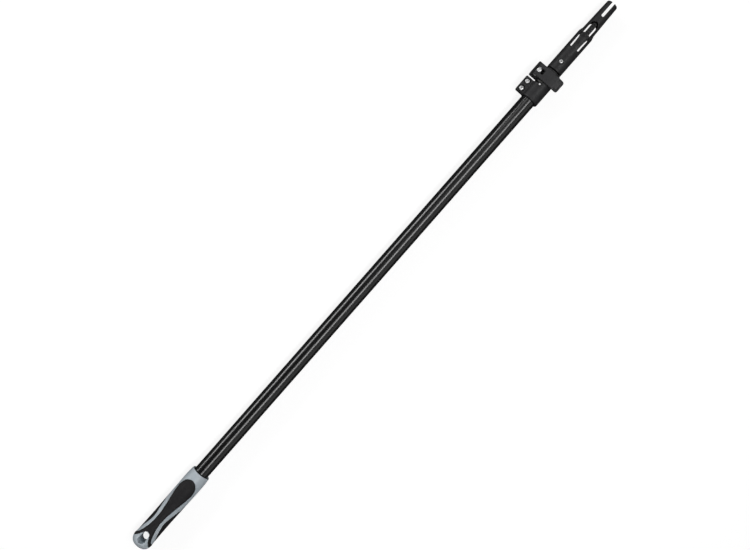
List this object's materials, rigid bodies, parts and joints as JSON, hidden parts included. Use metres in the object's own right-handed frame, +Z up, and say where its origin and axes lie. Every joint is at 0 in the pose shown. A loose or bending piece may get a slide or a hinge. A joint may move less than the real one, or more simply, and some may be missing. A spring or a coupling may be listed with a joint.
{
  "type": "roller extension pole",
  "caption": "Telescopic pole with a soft-grip handle, a cam-lever clamp and a latching plastic tip that takes a paint roller or brush holder.",
  "frame": {"origin": "middle of the closed pole's length, on the ground under the pole's axis, with the pole lying on its back", "axes": "+X along the pole from the handle's end to the tip, +Y towards the clamp's ears, +Z up, the side that the clamp lever lies on"},
  "size_m": [1.145, 0.0535, 0.0367],
  "materials": {
    "grey_plastic": "satin",
    "black_rubber": "matte",
    "black_tube": "satin",
    "bare_tube": "satin",
    "black_clamp": "matte",
    "black_lever": "satin",
    "black_tip": "satin",
    "nylon": "satin",
    "zinc_steel": "satin"
  },
  "bodies": {
    "grip_and_outer": {"handle_core": "grey_plastic", "grip_pad_front": "black_rubber", "grip_pad_back": "black_rubber", "grip_pad_left": "black_rubber", "grip_pad_right": "black_rubber", "outer_tube": "black_tube", "clamp_body": "black_clamp", "jaw_liner": "nylon", "collar_screw_lower": "zinc_steel", "collar_screw_upper": "zinc_steel", "collar_nut_lower": "zinc_steel", "collar_nut_upper": "zinc_steel", "collar_rivet": "zinc_steel", "tension_bolt": "zinc_steel", "tension_washer": "zinc_steel", "tension_nut": "zinc_steel", "barrel_pin": "zinc_steel", "cam_pad": "zinc_steel"},
    "slide_bush": {"guide_bush": "nylon"},
    "inner_section": {"inner_tube": "bare_tube", "tip_body": "black_tip", "tip_screw": "zinc_steel"},
    "lever": {"clamp_lever": "black_lever"},
    "latch_front": {"latch_arm_front": "black_tip"},
    "latch_back": {"latch_arm_back": "black_tip"}
  },
  "joints": [
    {"name": "pole_extend", "type": "slide", "parent": "grip_and_outer", "child": "slide_bush", "axis": [1, 0, 0], "range_m": [0, 0.85]},
    {"name": "inner_turn", "type": "hinge", "parent": "slide_bush", "child": "inner_section", "pos_m": [-0.5245, 0, 0.01705], "axis": [1, 0, 0], "continuous": true},
    {"name": "lever_open", "type": "hinge", "parent": "grip_and_outer", "child": "lever", "pos_m": [0.41265, 0.0187, 0.03065], "axis": [-1, 0, 0], "range_deg": [0, 110]},
    {"name": "latch_front_press", "type": "hinge", "parent": "inner_section", "child": "latch_front", "pos_m": [0.4759, 0, 0.02805], "axis": [0, 1, 0], "range_deg": [0, 5], "stiffness_Nm_per_rad": 3},
    {"name": "latch_back_press", "type": "hinge", "parent": "inner_section", "child": "latch_back", "pos_m": [0.4759, 0, 0.00605], "axis": [0, -1, 0], "range_deg": [0, 5], "stiffness_Nm_per_rad": 3}
  ]
}
